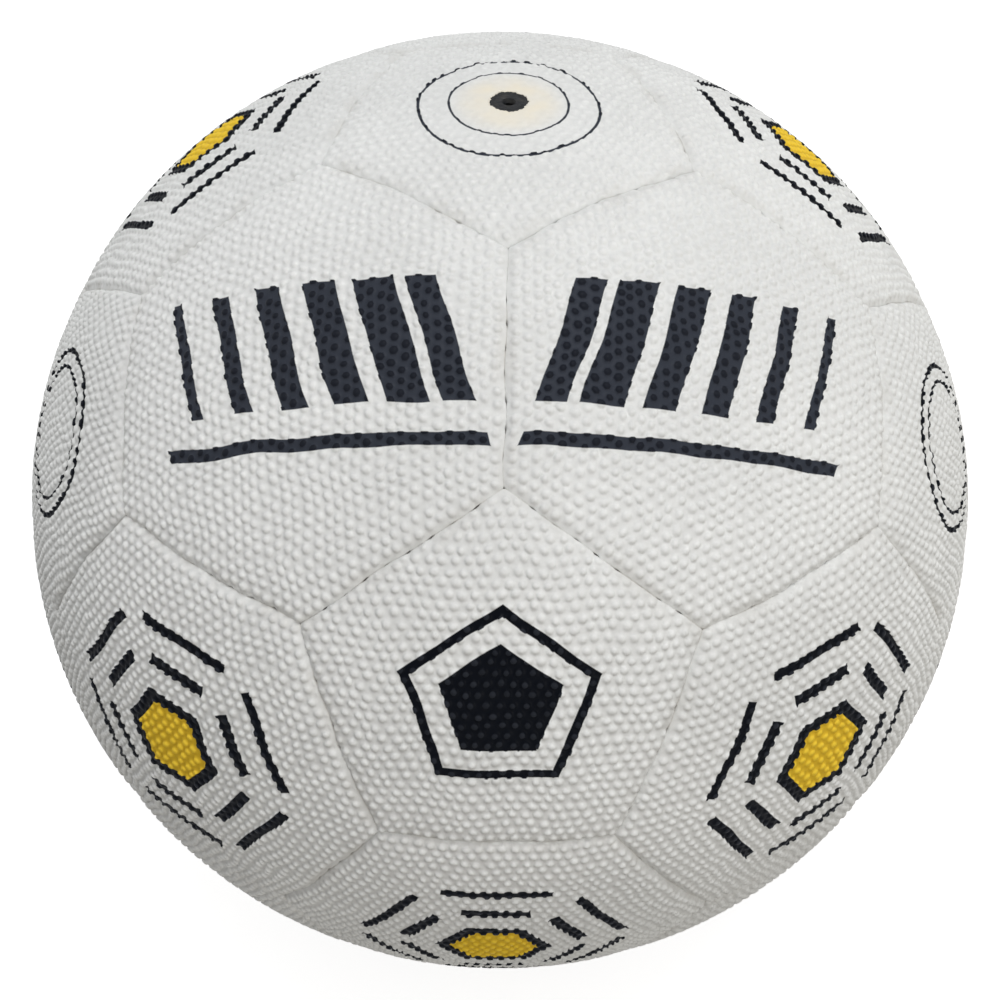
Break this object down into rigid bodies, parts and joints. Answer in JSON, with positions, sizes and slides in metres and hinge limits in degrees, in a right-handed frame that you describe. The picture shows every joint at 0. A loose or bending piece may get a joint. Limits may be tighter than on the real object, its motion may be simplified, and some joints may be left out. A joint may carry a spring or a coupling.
{
  "type": "netball",
  "caption": "Inflatable netball: pimpled rubber pentagon and hexagon panels on fabric linings, sewn over a bladder, with a needle valve whose insert pulls out.",
  "frame": {"origin": "the ball's centre", "axes": "+Z along the valve's axis, out of the ball; -Y towards the middle of the pentagon below the valve"},
  "size_m": [0.2228, 0.2228, 0.2227],
  "materials": {
    "cover": "matte, pimpled",
    "lining": "woven, latex bonded",
    "thread": "twisted, waxed",
    "bladder": "smooth, dusted",
    "valve": "moulded, matte"
  },
  "bodies": {
    "ball": {"base_pentagon_cover": "cover", "bladder": "bladder", "bottom_hexagon_1_cover": "cover", "bottom_hexagon_2_cover": "cover", "bottom_hexagon_3_cover": "cover", "bottom_hexagon_4_cover": "cover", "bottom_hexagon_5_cover": "cover", "hexagon_linings": "lining", "hexagon_seam_threads": "thread", "lower_hexagon_1_cover": "cover", "lower_hexagon_2_cover": "cover", "lower_hexagon_3_cover": "cover", "lower_hexagon_4_cover": "cover", "lower_hexagon_5_cover": "cover", "lower_pentagon_1_cover": "cover", "lower_pentagon_2_cover": "cover", "lower_pentagon_3_cover": "cover", "lower_pentagon_4_cover": "cover", "lower_pentagon_5_cover": "cover", "pentagon_linings": "lining", "pentagon_seam_threads": "thread", "top_hexagon_1_cover": "cover", "top_hexagon_2_cover": "cover", "top_hexagon_3_cover": "cover", "top_hexagon_4_cover": "cover", "top_hexagon_5_cover": "cover", "upper_hexagon_1_cover": "cover", "upper_hexagon_2_cover": "cover", "upper_hexagon_3_cover": "cover", "upper_hexagon_4_cover": "cover", "upper_hexagon_5_cover": "cover", "upper_pentagon_1_cover": "cover", "upper_pentagon_2_cover": "cover", "upper_pentagon_3_cover": "cover", "upper_pentagon_4_cover": "cover", "upper_pentagon_5_cover": "cover", "valve_boot": "valve", "valve_pentagon_cover": "cover"},
    "insert": {"valve_insert": "valve"}
  },
  "joints": [
    {"name": "insert_pull", "type": "slide", "parent": "ball", "child": "insert", "axis": [0, 0, 1], "range_m": [0, 0.025]}
  ]
}
